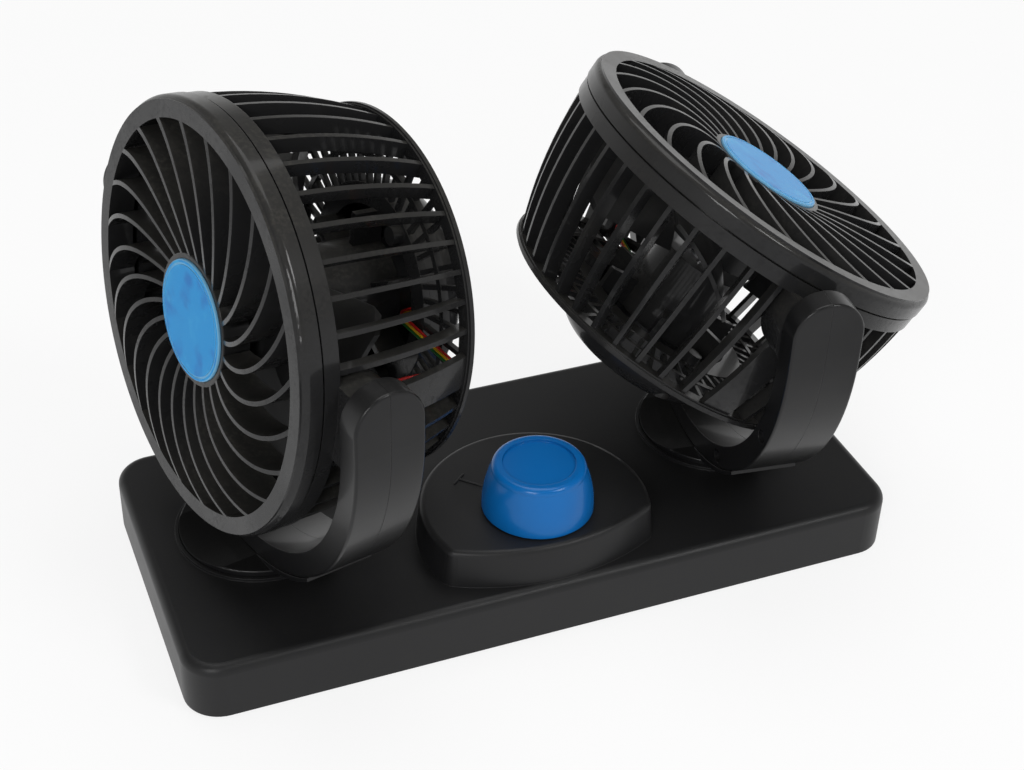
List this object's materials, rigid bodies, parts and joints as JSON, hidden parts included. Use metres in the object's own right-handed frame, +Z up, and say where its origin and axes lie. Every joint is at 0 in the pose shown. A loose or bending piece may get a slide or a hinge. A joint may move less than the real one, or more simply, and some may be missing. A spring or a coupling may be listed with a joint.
{
  "type": "dashboard fan",
  "caption": "Twin-head dashboard fan: flat base with a control pod and a turn knob, and round fan heads that tilt in yokes on swivelling turntables.",
  "frame": {"origin": "centre of the base, on the surface that it stands on", "axes": "+X along the base towards the right head, -Y towards the user and the front of the base, +Z up"},
  "size_m": [0.2704, 0.1657, 0.1739],
  "materials": {
    "base_plastic": "satin, very fine grain",
    "swivel_plastic": "satin",
    "head_plastic": "semi-gloss",
    "impeller_plastic": "satin",
    "knob_blue": "glossy",
    "disc_blue": "glossy, thin silvery rim",
    "foam_pad": "foam",
    "bush_rubber": "moulded",
    "switch_plastic": "moulded",
    "resistor_ceramic": "opaque unglazed ceramic",
    "washer_plastic": "natural",
    "plate_steel": "zinc plated",
    "screw_metal": "zinc plated",
    "shaft_steel": "ground",
    "motor_can": "plated can",
    "lead_red": "insulation",
    "lead_yellow": "insulation",
    "lead_green": "insulation"
  },
  "bodies": {
    "base": {"base_shell": "base_plastic", "base_cover": "base_plastic", "cover_screws": "screw_metal", "mounting_pads": "foam_pad", "rotary_switch": "switch_plastic", "switch_nut": "screw_metal", "speed_resistor": "resistor_ceramic", "cable_bush": "bush_rubber"},
    "knob": {"control_knob": "knob_blue", "switch_shaft": "shaft_steel"},
    "left_swivel": {"left_turntable": "swivel_plastic", "left_table_washer": "washer_plastic", "left_table_retainer": "plate_steel", "left_retainer_screws": "screw_metal", "left_foot_screws": "screw_metal", "left_yoke_front": "swivel_plastic", "left_yoke_rear": "swivel_plastic", "left_yoke_screws": "screw_metal"},
    "left_head": {"left_front_grille": "head_plastic", "left_hub_disc": "disc_blue", "left_rear_housing": "head_plastic", "left_rear_cap": "head_plastic", "left_cap_screws": "screw_metal", "left_motor": "motor_can", "left_motor_screws": "screw_metal", "left_tilt_washers": "washer_plastic", "left_lead_red": "lead_red", "left_lead_yellow": "lead_yellow", "left_lead_green": "lead_green"},
    "left_rotor": {"left_impeller": "impeller_plastic", "left_motor_shaft": "shaft_steel"},
    "right_swivel": {"right_turntable": "swivel_plastic", "right_table_washer": "washer_plastic", "right_table_retainer": "plate_steel", "right_retainer_screws": "screw_metal", "right_foot_screws": "screw_metal", "right_yoke_front": "swivel_plastic", "right_yoke_rear": "swivel_plastic", "right_yoke_screws": "screw_metal"},
    "right_head": {"right_front_grille": "head_plastic", "right_hub_disc": "disc_blue", "right_rear_housing": "head_plastic", "right_rear_cap": "head_plastic", "right_cap_screws": "screw_metal", "right_motor": "motor_can", "right_motor_screws": "screw_metal", "right_tilt_washers": "washer_plastic", "right_lead_red": "lead_red", "right_lead_yellow": "lead_yellow", "right_lead_green": "lead_green"},
    "right_rotor": {"right_impeller": "impeller_plastic", "right_motor_shaft": "shaft_steel"}
  },
  "joints": [
    {"name": "knob_turn", "type": "hinge", "parent": "base", "child": "knob", "pos_m": [0, -0.0304, 0.04], "axis": [0, 0, 1], "range_deg": [-45, 45]},
    {"name": "left_yaw", "type": "hinge", "parent": "base", "child": "left_swivel", "pos_m": [-0.08349, 0.0051, 0.0206], "axis": [0, 0, 1], "range_deg": [-92.5, 247.5]},
    {"name": "left_tilt", "type": "hinge", "parent": "left_swivel", "child": "left_head", "pos_m": [-0.08184, 0.00547, 0.10544], "axis": [-0.2164, 0.9763, 0], "range_deg": [-37.25, 82.75]},
    {"name": "left_spin", "type": "hinge", "parent": "left_head", "child": "left_rotor", "pos_m": [-0.08184, 0.00547, 0.10544], "axis": [-0.9685, -0.2147, 0.1262], "continuous": true},
    {"name": "right_yaw", "type": "hinge", "parent": "base", "child": "right_swivel", "pos_m": [0.08349, 0.0051, 0.0206], "axis": [0, 0, 1], "range_deg": [-252.4, 87.6]},
    {"name": "right_tilt", "type": "hinge", "parent": "right_swivel", "child": "right_head", "pos_m": [0.08181, 0.00532, 0.10544], "axis": [-0.1323, -0.9912, 0], "range_deg": [-87.25, 32.75]},
    {"name": "right_spin", "type": "hinge", "parent": "right_head", "child": "right_rotor", "pos_m": [0.08181, 0.00532, 0.10544], "axis": [0.5362, -0.0715, 0.841], "continuous": true}
  ]
}
